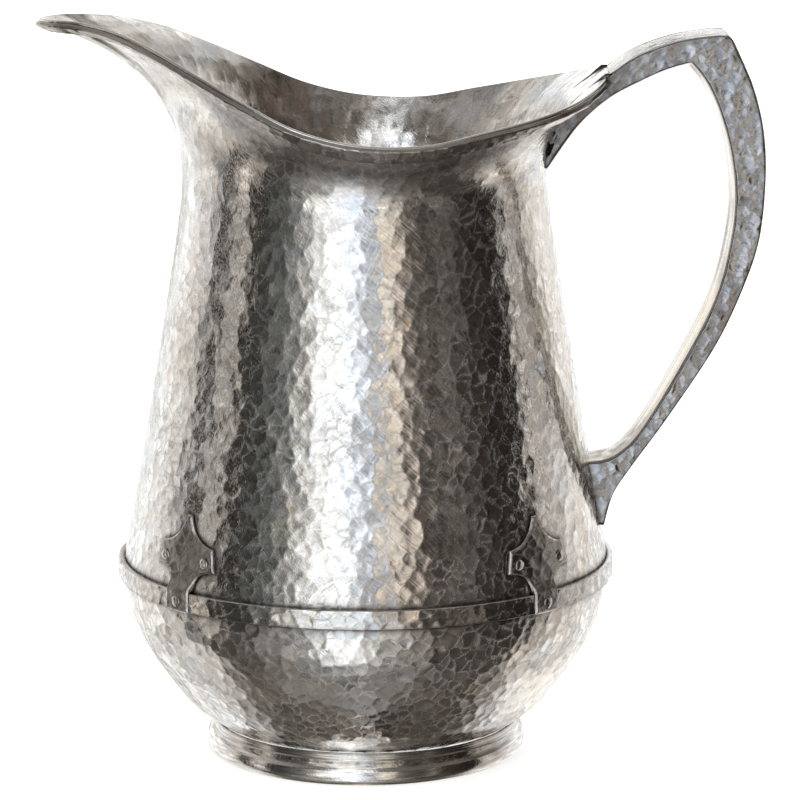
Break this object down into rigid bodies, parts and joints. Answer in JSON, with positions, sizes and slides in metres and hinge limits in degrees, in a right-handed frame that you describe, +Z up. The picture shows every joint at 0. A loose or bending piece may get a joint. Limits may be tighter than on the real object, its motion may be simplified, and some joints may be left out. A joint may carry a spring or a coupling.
{
  "type": "silver water pitcher",
  "caption": "Hammered metal water pitcher with a drawn-out spout, hollow box handle, riveted strap band and turned foot ring.",
  "frame": {"origin": "centre of the bounding box on the surface the foot stands on; the body's own axis is 11.1 mm towards -X from it", "axes": "+Z up, -X the way the spout pours, +X towards the handle, Y across the pitcher"},
  "size_m": [0.2292, 0.1588, 0.2355],
  "materials": {
    "neck_silver": "hammered sterling silver, polished, with fine scratches and brown-grey tarnish between the facets",
    "bowl_silver": "hammered sterling silver, polished, warm grey",
    "foot_silver": "smooth turned sterling silver, polished",
    "wire_silver": "sterling silver wire, lightly hammered outer face, polished edges",
    "strap_silver": "hammered sterling silver strap, darker tarnish",
    "rivet_silver": "low domed silver rivet heads, tarnished at the edges",
    "handle_silver": "hammered sterling silver, grey-blue tarnish",
    "handle_polished": "smooth polished sterling silver"
  },
  "bodies": {
    "root": {"upper_body": "neck_silver", "lower_bowl": "bowl_silver", "foot_ring": "foot_silver", "lip_wire": "wire_silver", "strap_band": "strap_silver", "strap_mount_1": "strap_silver", "strap_mount_2": "strap_silver", "strap_mount_3": "strap_silver", "strap_mount_4": "strap_silver", "rivet_1_1": "rivet_silver", "rivet_1_2": "rivet_silver", "rivet_1_3": "rivet_silver", "rivet_2_1": "rivet_silver", "rivet_2_2": "rivet_silver", "rivet_2_3": "rivet_silver", "rivet_3_1": "rivet_silver", "rivet_3_2": "rivet_silver", "rivet_3_3": "rivet_silver", "rivet_4_1": "rivet_silver", "rivet_4_2": "rivet_silver", "rivet_4_3": "rivet_silver", "handle_side_front": "handle_silver", "handle_side_back": "handle_silver", "handle_outer_plate": "handle_silver", "handle_inner_plate": "handle_polished"}
  },
  "joints": []
}
